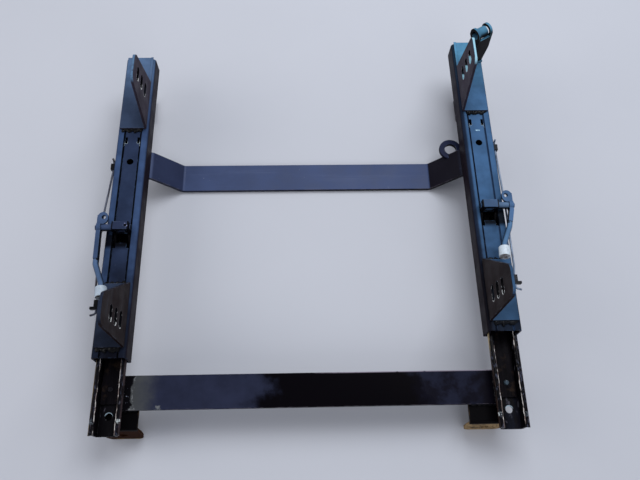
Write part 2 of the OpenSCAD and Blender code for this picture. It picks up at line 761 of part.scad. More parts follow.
color(bare_steel) left_slider() pivot_pin();  // left_pivot_pin
color(bare_steel) right_slider() pivot_pin();  // right_pivot_pin
color(bare_steel) left_slider() return_spring();  // left_return_spring
color(bare_steel) right_slider() return_spring();  // right_return_spring
color(steel_black) left_slider() spring_clip();  // left_spring_clip
color(steel_black) right_slider() spring_clip();  // right_spring_clip
color(steel_black) left_slider() spring_tab();  // left_spring_tab
color(steel_black) right_slider() spring_tab();  // right_spring_tab
color(steel_black) right_slider() buckle_stay();
color(steel_black) right_slider() buckle_collar();
color(steel_black) left_slider() lock_claw();  // left_lock_claw
color(steel_black) right_slider() lock_claw();  // right_lock_claw
color(steel_black) left_slider() pivot_sleeve();  // left_pivot_sleeve
color(steel_black) right_slider() pivot_sleeve();  // right_pivot_sleeve
color(steel_black) left_slider() lever_arm(left_arm_len, left_arm_angle);  // left_lever_arm
color(steel_black) right_slider() lever_arm(right_arm_len, right_arm_angle);  // right_lever_arm
color(steel_black) left_slider()  // left_lever_rod
    lever_rod(left_arm_len, left_arm_angle, left_bush_in);
color(steel_black) right_slider()  // right_lever_rod
    lever_rod(right_arm_len, right_arm_angle, right_bush_in);
color(bush_white) left_slider()  // left_lever_bush
    lever_bush(left_arm_len, left_arm_angle, left_bush_in);
color(bush_white) right_slider()  // right_lever_bush
    lever_bush(right_arm_len, right_arm_angle, right_bush_in);
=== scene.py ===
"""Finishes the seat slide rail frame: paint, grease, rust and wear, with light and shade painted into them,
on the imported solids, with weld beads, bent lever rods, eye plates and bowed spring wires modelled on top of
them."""
import json
import math

import bpy
from mathutils import Matrix, Vector


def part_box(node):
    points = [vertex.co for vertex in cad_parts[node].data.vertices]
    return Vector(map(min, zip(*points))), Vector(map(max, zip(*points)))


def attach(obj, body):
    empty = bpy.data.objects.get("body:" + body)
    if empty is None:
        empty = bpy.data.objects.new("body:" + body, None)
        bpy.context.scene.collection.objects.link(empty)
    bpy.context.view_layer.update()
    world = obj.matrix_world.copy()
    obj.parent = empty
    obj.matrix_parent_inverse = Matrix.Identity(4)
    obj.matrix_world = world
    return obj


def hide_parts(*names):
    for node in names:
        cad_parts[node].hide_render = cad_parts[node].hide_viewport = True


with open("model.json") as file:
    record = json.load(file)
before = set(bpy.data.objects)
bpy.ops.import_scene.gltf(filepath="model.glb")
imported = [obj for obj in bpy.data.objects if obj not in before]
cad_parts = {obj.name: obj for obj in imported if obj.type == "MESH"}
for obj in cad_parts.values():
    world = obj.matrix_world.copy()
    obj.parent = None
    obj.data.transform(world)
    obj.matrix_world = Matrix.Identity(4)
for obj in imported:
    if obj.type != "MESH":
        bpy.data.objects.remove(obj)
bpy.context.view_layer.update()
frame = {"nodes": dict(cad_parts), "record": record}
mounts = {mount["name"]: mount for mount in frame["record"]["mounts"]}
joints = {joint["name"]: joint for joint in frame["record"]["behaviour"]["joints"]}

MM = 0.001
SIDES = {"left": -1, "right": 1}    # each side, with the direction of X in which it lies

# Rails, from a rail's centre line outwards; places along the rails are the left one's
RAIL_X = 220.25 * MM                # rail centre lines, left and right of the middle
RIGHT_BACK = 24 * MM                # the right rail stands this much further back than the left one
SIDE_BLEND = 150 * MM               # left finishes pass into right ones within this of the middle
GROOVE_OUT = 10 * MM                # the upper rails' long grooves
BRIM_IN = 11.6 * MM                 # inner and outer edges of the lower rails' brims
BRIM_OUT = 16.6 * MM
CLAW_AT = -226 * MM                 # painted shadow round the lock claw
LANCE_AT = -89 * MM                 # the lanced slots
DENT_AT = -101.4 * MM               # the painted glint on a small pressed mark ahead of the right rail's lanced slots
HOLE_AT = -426 * MM                 # the round hole near the lower rails' front ends
HOLE_RIM = 5 * MM                   # reach of the painted crescent of light round its rear edge
WALL_IN = 12.5 * MM                 # inner walls of the lower rails
CRIMP_AT = -433 * MM                # the crimped stops on the brims, with painted glints
CREAM_FROM = (-376 * MM, -352 * MM)     # where the right inboard brim's edge turns from brown to cream; partly bare steel, partly painted highlight

# Seat brackets
SLOTS_AT = (-334 * MM, -34 * MM)    # middles of the front and rear bolt slots
SLOT_HALF = 12.5 * MM               # half the length of the slotted wall, painted dark inside with shade and worn and glinting at its edges
SLOT_FRONT = 8 * MM                 # the painted glints at the slots' front ends, ahead of the middles
SLOTS_LOW = 90 * MM                 # the slots lie between these heights
SLOTS_HIGH = 140 * MM
REAR_BRACKETS = (-100 * MM, -60 * MM)   # from here on back, the rear brackets

# Paint along the frame, with painted light and shade
RIGHT_REAR_LIGHT = (-30 * MM, 50 * MM)    # where the tops are painted lighter towards the rear, as lit from behind
LEFT_REAR_LIGHT = (-50 * MM, 45 * MM)
RIGHT_FRONT_SHADE = (-325 * MM, -180 * MM)  # where the painted shade on the fronts runs out
LEFT_FRONT_SHADE = (-370 * MM, -170 * MM)
FRONT_SHADE_WAVER = 30 * MM
WALL_LIGHT_TURN = (-120 * MM, -50 * MM)   # where the side walls turn to their lighter rear colour, as lit from behind

# Cross bars and front feet
BURNT_END = -197 * MM               # where the burnt left end of the front bar stops
OVERSPRAY = 34 * MM                 # width of the grey overspray beside it
CHIP_AT = (-168.5 * MM, -417.5 * MM)    # the chip near the front bar's front edge, across and along
GLOSSY_REFLECTION_FROM = (-80 * MM, -40 * MM)   # the shiny patch on the front bar, painted black as a dark reflection
GLOSSY_REFLECTION_TO = (142 * MM, 112 * MM)
BLOTCH_FROM = (112 * MM, 134 * MM)  # the blotched right end, and the strip of painted shade at its rail
RAIL_SHADE_FROM = (184 * MM, 198 * MM)
REAR_EDGE_HIGHLIGHT = (-382.4 * MM, -381.2 * MM)  # the painted highlight on the front bar's rear edge, and where it begins
HIGHLIGHT_FROM = (0 * MM, 40 * MM)
RIGHT_KNEE = (192 * MM, 197 * MM)   # painted shade on the rear bar outside its right knee
FLANGE_TOP = (34.5 * MM, 29 * MM)   # the feet are worn below this height, and bright at the rim
FLANGE_RIM = (4 * MM, 1.5 * MM)

# Lock levers
ARMS = {"left": (42 * MM, 4), "right": (24 * MM, 15)}   # reach of each arm, bend towards its rail
ARM_BEND = 7 * MM                   # where the arms bend, ahead of their pivots
ARM_UP = 8                          # rise of the arms, in degrees
LEVER_OUT = 25.5 * MM               # lever hubs, outside a rail's centre line
ROD_THICK = 6.5 * MM
ROD_LEAD = 6.5 * MM                 # straight run of a rod before its first bend
ROD_BEND = 8 * MM
ROD_SUNK = 0.5 * MM                 # the rod starts this far inside the arm's end
ROD_IN_BUSH = 14 * MM               # the rod's run past its second bend
BUSH_MID = 10.425 * MM              # the middle of a bush, from its rod's second bend
EYE_HOLE = 5.2 * MM                 # the spring hole in each arm's tail
EYE_AT = (20.4 * MM, 12 * MM)       # its place, outside a rail's centre line and behind the pivot
PLATE_AT = (21.7 * MM, 10.9 * MM)   # the middle of the plate around it
PLATE_WIDE = 13 * MM
PLATE_LONG = 16 * MM
PLATE_TOP = 4.25 * MM               # the plate's upper face, over the pivot
PLATE_THICK = 2.8 * MM
PLATE_EASE = 0.5 * MM
PLATE_SIDES = 40
CLAW_SHADE_BELOW = 77.5 * MM             # the claws are painted dark with shade below this height
CLAW_END = 9.7 * MM                 # ends of the claw's bridge, from a rail's centre line
DOT_AT = (-6.3 * MM, -213 * MM)   # a dark dot ringed by a painted highlight on the left claw, outwards and along

# Return springs: how far they stand off their clips' line at the levers, and ahead of them
WIRE_BOW = {"left": 6.5 * MM, "right": 2.1 * MM}
WIRE_AHEAD = {"left": 3.3 * MM, "right": 1.5 * MM}
WIRE_UP = (5 * MM, 5.5 * MM)        # the turned-up rear end: how far behind the straight wire, and its rise
WIRE_TURN = 4 * MM                  # where it turns up
WIRE_LEAD = 12 * MM                 # straight run ahead of the rear end
WIRE_PEAK = 6 * MM                  # the bow's peak, behind the lever's pivot
WIRE_AT_TAB = (11 * MM, 1 * MM)     # behind the tab: the end of the bow, and the return to the line
WIRE_HOOK = (8 * MM, 10 * MM)       # bend and tip of the hooked front end, ahead of the straight wire
WIRE_TIP = 6.5 * MM                 # the hook's reach off the line
WIRE_BENDS = (2.6 * MM, 30 * MM, 30 * MM, 12 * MM, 8 * MM, 3 * MM)

# Round bars: sides of the section, steps of a bend, eased ends in thicknesses
BAR_SIDES = 20
BEND_STEPS = 9
END_EASE = 0.16
SMOOTH_UNDER = 35                   # edges that turn less than this are shaded smooth, in degrees

# Weld beads: their ripples, in bead widths, and the reach of each run
RIPPLE_SHAPE = (0.55, 1.0, 0.6)     # length, width and height
RIPPLE_LEAN = 35                    # in degrees
RIPPLE_STEP = 0.36
RIPPLE_SWAY = (0.2, 1.9)            # amount to either side, and pace along the bead
RIPPLE_SWELL = (0.16, 2.7)
RIPPLE_ROUGH = 0.08
BEAD_VOXELS = 11                    # across a bead's width
BEAD_WIDE = {"front_bracket_front": 8.4 * MM, "front_bracket_rear": 5.4 * MM, "rear_bracket_front": 7.4 * MM,
             "bar": 6 * MM, "front_foot": 5 * MM, "rear_foot": 4.6 * MM, "rod": 3.6 * MM,
             "belt_ring": 5 * MM, "buckle_stay": 5.4 * MM}
BRACKET_RUN = (-10 * MM, 13 * MM)   # inside and outside a rail's centre line
BRACKET_AHEAD = 1 * MM              # ahead of a bracket's front end
BRACKET_BEHIND = 0.5 * MM           # behind the front bracket's rear end
BAR_INSET = 3 * MM                  # from a cross bar's edges
FOOT_INSET = 5 * MM                 # from a front foot's sides
REAR_FOOT_RUN = 9 * MM              # to either side of a rail's centre line
ROD_SEAM = (2.2 * MM, 1.6 * MM)     # inside and over the end of a lever arm
ROD_RUN = (2.4 * MM, 1.4 * MM)      # behind and ahead of it
RING_RUN = ((-10 * MM, -6.7 * MM), (5 * MM, 8.6 * MM))  # across and up from the ring's middle
STAY_RUN = 5 * MM                   # to either side of the stay's middle

# Buckle stay on the right rear bracket
STAY_OUT = 13 * MM                  # its foot, outside the rail's centre line and ahead of the bracket's end
STAY_AHEAD = 33 * MM
STAY_TURN = 30                      # in degrees
BASE_THICK = 3 * MM                 # thickness of the bracket's base

# The photograph's camera, with its angles in degrees
CAMERA_AT = (-6.43 * MM, -533 * MM, 764.1 * MM)
CAMERA_PITCH = 66.381
CAMERA_YAW = 3.853
CAMERA_ROLL = -2.877
LENS = 36                           # focal length and sensor width, in millimetres


def both(*pieces):
    """The left and right names of some pieces."""
    return [f"{side}_{piece}" for piece in pieces for side in SIDES]


def tint(red, green, blue):
    """A colour as a painter reads it, 0 to 255, as the linear colour that a socket takes."""
    def linear(value):
        value /= 255
        return value / 12.92 if value <= 0.04045 else ((value + 0.055) / 1.055) ** 2.4
    return (linear(red), linear(green), linear(blue), 1.0)


class Finish:
    """One material in the making, with short ways to add the nodes that these finishes share."""

    def __init__(self, name, roughness=0.5, metallic=0.0, specular=0.12, coat=0.0):
        self.material = bpy.data.materials.new(name)
        self.material.use_nodes = True
        self.tree = self.material.node_tree
        self.shader = self.tree.nodes["Principled BSDF"]
        for socket, value in (("Roughness", roughness), ("Metallic", metallic), ("Coat Weight", coat),
                              ("Specular IOR Level", specular), ("Coat Roughness", 0.1)):
            self.shader.inputs[socket].default_value = value
        self.surface = self.add("ShaderNodeTexCoord")
        self.place = self.add("ShaderNodeSeparateXYZ", {0: self.surface.outputs["Object"]}).outputs
        self.faces = self.add("ShaderNodeSeparateXYZ", {0: self.surface.outputs["Normal"]}).outputs

    def add(self, kind, sockets=None, **settings):
        made = self.tree.nodes.new(kind)
        for key, value in settings.items():
            setattr(made, key, value)
        for key, value in (sockets or {}).items():
            if isinstance(value, bpy.types.NodeSocket):
                self.tree.links.new(value, made.inputs[key])
            else:
                made.inputs[key].default_value = value
        return made

    def grain(self, scale, detail=4.0, stretch=(1, 1, 1), shift=(0, 0, 0)):
        """Noise in the part's own frame; a stretch under 1 draws it out along that axis."""
        spot = self.add("ShaderNodeMapping", {"Vector": self.surface.outputs["Object"],
                                              "Location": shift, "Scale": stretch})
        made = self.add("ShaderNodeTexNoise", {"Vector": spot.outputs[0], "Scale": scale,
                                               "Detail": detail, "Roughness": 0.6})
        return made.outputs["Fac"]

    def ramp(self, reading, low, high, start=0.0, end=1.0):
        """Runs smoothly from start to end as a reading goes from low to high."""
        made = self.add("ShaderNodeMapRange", {0: reading, 1: low, 2: high, 3: start, 4: end},
                        interpolation_type="SMOOTHSTEP")
        return made.outputs[0]

    def calc(self, operation, first, second=0.0):
        return self.add("ShaderNodeMath", {0: first, 1: second}, operation=operation).outputs[0]

    def mix(self, share, under, over, blend="MIX"):
        made = self.add("ShaderNodeMix", {0: share, 6: under, 7: over}, data_type="RGBA", blend_type=blend)
        return made.outputs[2]

    def edges(self, radius, soft=0.9):
        """1 on sharp outer and inner corners, 0 on flats."""
        rounded = self.add("ShaderNodeBevel", {"Radius": radius}, samples=8)
        flat = self.add("ShaderNodeNewGeometry")
        bend = self.add("ShaderNodeVectorMath", {0: rounded.outputs[0], 1: flat.outputs["Normal"]},
                        operation="DOT_PRODUCT")
        return self.ramp(bend.outputs["Value"], 0.995, soft)

    def mottled(self, colour, scale, amount):
        """A colour that goes a little lighter and darker in patches."""
        shade = self.ramp(self.grain(scale, 5), 0.3, 0.7, 1 - amount, 1 + amount)
        grey = self.add("ShaderNodeCombineXYZ", {0: shade, 1: shade, 2: shade}).outputs[0]
        return self.mix(1.0, colour, grey, "MULTIPLY")

    def wavering(self, reading, scale, detail, amount, low=0.25, high=0.75):
        """A reading that wanders by an amount to either side, for ragged borders."""
        return self.calc("ADD", reading, self.ramp(self.grain(scale, detail), low, high, -amount, amount))

    def right_side(self):
        """0 on the left rail and 1 on the right rail."""
        return self.ramp(self.place["X"], -SIDE_BLEND, SIDE_BLEND)

    def outward(self):
        """Distance outside the centre line of the nearer rail."""
        return self.calc("SUBTRACT", self.calc("ABSOLUTE", self.place["X"]), RAIL_X)

    def off_centre(self):
        """Distance from the centre line of the nearer rail, to either side."""
        return self.calc("ABSOLUTE", self.outward())

    def distance(self, across, along, spot):
        """How far a place, read across and along, lies from a spot."""
        across = self.calc("SUBTRACT", across, spot[0])
        along = self.calc("SUBTRACT", along, spot[1])
        squares = self.calc("ADD", self.calc("MULTIPLY", across, across), self.calc("MULTIPLY", along, along))
        return self.calc("SQRT", squares)

    def all_of(self, first, *others):
        """1 where every one of some masks is 1."""
        for other in others:
            first = self.calc("MULTIPLY", first, other)
        return first

    def band(self, reading, middle, half, fade):
        """1 where a reading is within half of the middle, fading out over fade."""
        away = self.calc("ABSOLUTE", self.calc("SUBTRACT", reading, middle))
        return self.ramp(away, half + fade, half)

    def close(self, colour, roughness, peel=0.1, peel_scale=900):
        """Joins colour, roughness and the fine relief to the shader."""
        self.tree.links.new(colour, self.shader.inputs["Base Color"])
        self.tree.links.new(roughness, self.shader.inputs["Roughness"])
        rounded = self.add("ShaderNodeBevel", {"Radius": 0.6 * MM}, samples=8)
        relief = self.add("ShaderNodeBump", {"Height": self.grain(peel_scale, 3), "Strength": peel,
                                             "Distance": 0.4 * MM, "Normal": rounded.outputs[0]})
        self.tree.links.new(relief.outputs[0], self.shader.inputs["Normal"])
        return self.material


class BlackPaint(Finish):
    """Semi-shiny black paint with painted light: lit blue-black on what faces up, shaded brown-black on the
    walls, lighter at the rear, as lit from behind; with streaks, dust and rubbed edges. The kinds of paint
    below add what their pieces show."""

    def __init__(self, name, shine=0.12):
        super().__init__(name, specular=shine)
        self.right = self.right_side()
        self.left = self.ramp(self.right, 1, 0)
        self.out = self.outward()
        self.along = self.calc("SUBTRACT", self.place["Y"], self.calc("MULTIPLY", self.right, RIGHT_BACK))
        self.corners = self.edges(0.9 * MM)

    # Plain paint adds nothing in these steps; the kinds below do
    def ridges(self, top):
        return top

    def front_shade(self, top):
        return top

    def walls(self, wall):
        return wall

    def marks(self, colour):
        return colour

    def last_marks_and_light(self, colour):
        return colour

    def coat(self, left_top, right_top, wall, worn, wear, rough):
        """Lays the paint: lit tops and shaded walls, streaks and dust, marks, rubbed edges, last marks and
        painted light.
        """
        patchy = self.ramp(self.grain(30, 3), 0.3, 0.7, 0.5, 0.9)
        # Painted light: in patches the tops grow lighter towards the rear, as lit from behind
        right_rear = self.all_of(self.right, self.ramp(self.place["Y"], *RIGHT_REAR_LIGHT), patchy)
        left_rear = self.all_of(self.left, self.ramp(self.place["Y"], *LEFT_REAR_LIGHT), patchy)
        # Painted light: the right side is painted lighter than the left
        top = self.mix(self.right, left_top, right_top)
        top = self.mix(right_rear, top, tint(90, 148, 182))
        top = self.mix(left_rear, self.ridges(top), tint(88, 113, 146))
        # Painted light: faces turned up take the lit top colours, and the walls take the shaded wall colour
        lit_tops = self.ramp(self.faces["Z"], 0.25, 0.9)
        colour = self.mix(lit_tops, self.walls(wall), self.front_shade(top))
        colour = self.mottled(colour, 28, 0.22)
        streaks = self.ramp(self.grain(120, 3, stretch=(1, 0.08, 1)), 0.6, 0.8, 0, 0.14)
        colour = self.mix(streaks, colour, tint(84, 94, 112))
        dust = self.ramp(self.grain(520, 2), 0.7, 0.78, 0, 0.3)
        colour = self.marks(self.mix(dust, colour, tint(92, 102, 120)))
        # Rubbed edges: wear, whose pale blue-grey also stands as a painted highlight on the edges
        rubbed = self.all_of(self.corners, self.ramp(self.grain(140, 6), 0.44, 0.66, 0, wear))
        colour = self.last_marks_and_light(self.mix(rubbed, colour, worn))
        roughness = self.ramp(self.grain(45, 5), 0.3, 0.7, rough - 0.08, rough + 0.1)
        return self.close(colour, roughness)


class FrontShadedPaint(BlackPaint):
    """Paint darkened by painted shade towards the front, on walls painted paler towards the rear, as lit from
    behind.
    """

    def __init__(self, name, left_front_shade, right_front_shade, lit_rear_wall):
        super().__init__(name, shine=0.02)
        self.left_front_shade = left_front_shade
        self.right_front_shade = right_front_shade
        self.lit_rear_wall = lit_rear_wall

    def front_shade(self, top):
        # Painted shade: the tops darken towards the front, up to a wavering border
        front = self.wavering(self.place["Y"], 14, 4, FRONT_SHADE_WAVER, 0.3, 0.7)
        left_front_shade = self.all_of(self.left, self.ramp(front, *LEFT_FRONT_SHADE, self.left_front_shade, 0))
        right_front_shade = self.all_of(self.right, self.ramp(front, *RIGHT_FRONT_SHADE, self.right_front_shade, 0))
        return self.mix(self.calc("ADD", left_front_shade, right_front_shade), top, tint(17, 16, 22))

    def walls(self, wall):
        # Painted light: the walls turn lighter towards the rear
        return self.mix(self.ramp(self.place["Y"], *WALL_LIGHT_TURN), wall, self.lit_rear_wall)


class RailPaint(FrontShadedPaint):
    """Upper rails: painted highlights on the left ridges, painted shade at the right inner corner, in the two
    long grooves and round the claw, and painted glints at the lance cuts and on a small pressed mark.
    """

    def ridges(self, top):
        # Painted highlight on the left rail's ridges outside the grooves
        ridge = self.ramp(self.off_centre(), GROOVE_OUT, GROOVE_OUT + 2 * MM)
        patchy = self.ramp(self.grain(40, 3), 0.3, 0.7, 0.5, 0.85)
        top = self.mix(self.all_of(self.left, ridge, patchy), top, tint(62, 84, 122))
        # Painted shade along the right rail's inner corner
        inner_corner_shade = self.ramp(self.out, -13 * MM, -16 * MM, 0, 0.85)
        return self.mix(self.all_of(self.right, inner_corner_shade), top, tint(20, 19, 32))

    def marks(self, colour):
        # Painted shade in the two long grooves, paler outboard on the right rail
        groove_shade = self.band(self.off_centre(), GROOVE_OUT, 0.7 * MM, 0.8 * MM)
        groove_shade_tint = self.mix(self.right, tint(5, 5, 8), tint(17, 19, 31))
        thin = self.all_of(self.right, self.ramp(self.out, -1 * MM, 1 * MM))
        colour = self.mix(groove_shade, colour, self.mix(thin, groove_shade_tint, tint(38, 54, 80)))
        # Painted shadow in front of and outside the lock claw, under the lever
        smeared = self.all_of(self.band(self.along, CLAW_AT, 7 * MM, 7 * MM),
                              self.ramp(self.out, -12 * MM, -9 * MM),
                              self.ramp(self.grain(90, 5), 0.3, 0.45, 0.5, 0.95))
        colour = self.mix(smeared, colour, tint(6, 6, 9))
        # Painted glints on the edges of the lance cuts, near their front ends
        lance_glints = self.all_of(self.corners, self.ramp(self.off_centre(), 11 * MM, 9.5 * MM),
                             self.band(self.along, LANCE_AT - 5 * MM, 2.6 * MM, 1 * MM))
        colour = self.mix(lance_glints, colour, tint(196, 212, 222))
        # Painted glint on a small pressed mark on the right rail
        dent_glint = self.all_of(self.right, self.band(self.out, 0, 3 * MM, 0.6 * MM),
                           self.band(self.along, DENT_AT, 0.5 * MM, 0.6 * MM),
                           self.ramp(self.grain(640, 3), 0.42, 0.58))
        return self.mix(dent_glint, colour, tint(176, 212, 234))


class BracketPaint(FrontShadedPaint):
    """Seat brackets: painted shade inside the slots, their edges worn by bolts and lit with painted glints,
    painted light seen through the right rear slots, and painted highlights on the rear rims.
    """

    def slot_bands(self, ahead, half):
        """1 along both rows of slots, for a stretch that lies ahead of their middles."""
        front, rear = (self.band(self.along, middle - ahead, half, 1 * MM) for middle in SLOTS_AT)
        return self.calc("ADD", front, rear)

    def last_marks_and_light(self, colour):
        height = self.place["Z"]
        edge_on = self.ramp(self.calc("ABSOLUTE", self.faces["X"]), 0.6, 0.3)
        near = self.all_of(self.slot_bands(0, SLOT_HALF), self.ramp(height, SLOTS_LOW, SLOTS_LOW + 2 * MM),
                           self.ramp(height, SLOTS_HIGH + 2 * MM, SLOTS_HIGH))
        # Painted shade inside the slots
        colour = self.mix(self.all_of(near, edge_on), colour, tint(6, 6, 9))
        # Edges worn by bolts, lightened as painted glints
        scuffs_and_glints = self.all_of(near, self.corners, self.ramp(self.grain(210, 4), 0.56, 0.62))
        colour = self.mix(scuffs_and_glints, colour, tint(170, 172, 174))
        # Painted glints at the slots' front ends
        front_glints = self.all_of(near, self.slot_bands(SLOT_FRONT, 2.4 * MM), self.edges(1.5 * MM),
                             self.ramp(self.grain(170, 3), 0.4, 0.5))
        colour = self.mix(front_glints, colour, tint(232, 234, 234))
        rear = self.ramp(self.place["Y"], *REAR_BRACKETS)
        # Painted light seen through the right rear slots
        lit = self.all_of(self.right, rear, near, self.ramp(self.faces["Z"], 0.2, 0.5),
                          self.ramp(self.along, SLOTS_AT[1] + 4 * MM, SLOTS_AT[1] + 1.5 * MM))
        colour = self.mix(lit, colour, tint(140, 186, 204))
        # Painted highlights on the rear brackets' top rims, pale cyan on the right
        rim = self.all_of(rear, edge_on, self.ramp(height, SLOTS_HIGH + 4 * MM, SLOTS_HIGH + 10 * MM),
                          self.ramp(self.grain(160, 3), 0.3, 0.45))
        return self.mix(rim, colour, self.mix(self.right, tint(88, 116, 146), tint(158, 204, 222)))


class ClawPaint(BlackPaint):
    """Lock claws: painted shade on the legs and at the ends of the bridge, and a dark dot ringed by a painted
    highlight on the left bridge.
    """

    def last_marks_and_light(self, colour):
        # Painted shade on the legs, below the bridge
        claw_leg_shade = self.ramp(self.place["Z"], CLAW_SHADE_BELOW + 1 * MM, CLAW_SHADE_BELOW - 1 * MM)
        # Painted shade at the ends of the bridge
        bridge_end_shade = self.ramp(self.off_centre(), CLAW_END - 1.7 * MM, CLAW_END - 1.1 * MM)
        colour = self.mix(self.calc("MAXIMUM", claw_leg_shade, bridge_end_shade), colour, tint(8, 7, 11))
        # A dark dot on the left bridge, ringed by a painted highlight
        away = self.distance(self.out, self.along, DOT_AT)
        dot_highlight = self.all_of(self.left, self.band(away, 2.2 * MM, 0.4 * MM, 0.4 * MM),
                             self.ramp(self.grain(340, 3), 0.5, 0.58), self.ramp(claw_leg_shade, 1, 0))
        colour = self.mix(dot_highlight, colour, tint(136, 142, 176))
        dark_dot = self.all_of(self.left, self.ramp(away, 2.0 * MM, 1.4 * MM))
        return self.mix(dark_dot, colour, tint(5, 5, 8))


def greased_steel():
    """Black grease over steel: wet streaks along the rail, brims scraped bright and brown at their edges,
    with painted highlights and glints on them, and painted light in the round hole.
    """
    finish = Finish("greased_rail", specular=0.06, coat=0.03)
    right = finish.right_side()
    out = finish.off_centre()
    along = finish.place["Y"]
    top = finish.ramp(finish.faces["Z"], 0.1, 0.5)

    # Grease film with smears and bits of grit, and flecks on the brims, partly bare steel and partly painted
    # glints
    film = finish.grain(60, 6, stretch=(1, 0.12, 1))
    colour = finish.mix(finish.ramp(film, 0.4, 0.75), tint(5, 4, 7), tint(17, 14, 19))
    smear = finish.grain(36, 5, stretch=(1, 0.3, 1), shift=(0.3, 0, 0))
    colour = finish.mix(finish.ramp(smear, 0.6, 0.74, 0, 0.4), colour, tint(26, 32, 50))
    grit = finish.grain(150, 5, stretch=(1, 0.45, 1), shift=(0.7, 0.2, 0))
    colour = finish.mix(finish.ramp(grit, 0.6, 0.68, 0, 0.55), colour, tint(92, 90, 102))
    # Partly bare steel, partly painted glints on the brims' inner edges
    flecks_and_glints = finish.grain(330, 4, stretch=(1, 0.5, 1), shift=(0.1, 0.4, 0))
    flecks_and_glints = finish.all_of(top, finish.ramp(out, BRIM_IN - 0.5 * MM, BRIM_IN + 0.5 * MM),
                           finish.ramp(flecks_and_glints, 0.54, 0.64, 0, 0.4))
    colour = finish.mix(flecks_and_glints, colour, tint(84, 88, 110))

    # Inner edges of the brims: a broken bright line, scraped steel with painted highlights on the rounded
    # edge
    drag = finish.grain(240, 6, stretch=(1, 0.16, 1))
    nicks = finish.grain(420, 4, stretch=(1, 0.3, 1))
    wander = finish.wavering(out, 70, 4, 0.5 * MM)
    # Partly scraped steel, partly a painted highlight on the rounded edge
    inner_line = finish.all_of(top, finish.band(wander, BRIM_IN, 0.1 * MM, 0.4 * MM),
                               finish.ramp(drag, 0.44, 0.53))
    colour = finish.mix(inner_line, colour, tint(132, 116, 112))
    # Painted highlights: the brightest bits of the line
    bright = finish.all_of(inner_line, finish.ramp(nicks, 0.46, 0.54))
    colour = finish.mix(bright, colour, tint(236, 230, 226))

    # Outer edges: brown on the outboard brims, cream on the inboard right one, faint elsewhere; partly the
    # edges' own colour, partly painted highlight
    inboard = finish.ramp(finish.outward(), 1 * MM, -1 * MM)
    cream = finish.mix(finish.ramp(along, *CREAM_FROM), tint(46, 34, 30), tint(196, 176, 138))
    inboard_tint = finish.mix(right, tint(58, 48, 50), cream)
    outboard_tint = finish.mix(right, tint(118, 98, 60), tint(52, 46, 44))
    # Partly the edges' own colour, partly a painted highlight on their rounded lip
    outer_line = finish.all_of(finish.ramp(wander, BRIM_OUT - 1.1 * MM, BRIM_OUT - 0.5 * MM),
                               finish.ramp(drag, 0.38, 0.5, 0.1, 0.9))
    colour = finish.mix(outer_line, colour, finish.mix(inboard, outboard_tint, inboard_tint))

    # Painted glints on the crimped stops, a painted crescent of light at the round hole, and knocked corners
    # Painted glints on the crimped stops
    crimp_glints = finish.all_of(top, finish.band(along, CRIMP_AT, 1.6 * MM, 1.4 * MM),
                            finish.ramp(out, 11 * MM, 12.5 * MM),
                            finish.ramp(finish.grain(420, 4), 0.46, 0.56, 0, 0.9))
    colour = finish.mix(crimp_glints, colour, finish.mix(inboard, tint(98, 106, 114), tint(214, 222, 222)))
    from_hole = finish.distance(out, along, (0, HOLE_AT))
    # Painted light: a crescent of light showing through the round hole, at its rear edge
    hole_light = finish.all_of(finish.ramp(from_hole, HOLE_RIM, HOLE_RIM - 0.8 * MM),
                         finish.ramp(along, HOLE_AT, HOLE_AT + 3 * MM))
    colour = finish.mix(hole_light, colour, tint(176, 198, 212))
    knocked = finish.all_of(finish.edges(1.1 * MM, 0.85),
                            finish.ramp(finish.grain(260, 5), 0.52, 0.62, 0, 0.75))
    colour = finish.mix(knocked, colour, tint(126, 124, 130))
    return finish.close(colour, finish.ramp(film, 0.35, 0.7, 0.22, 0.45), peel=0.3, peel_scale=260)


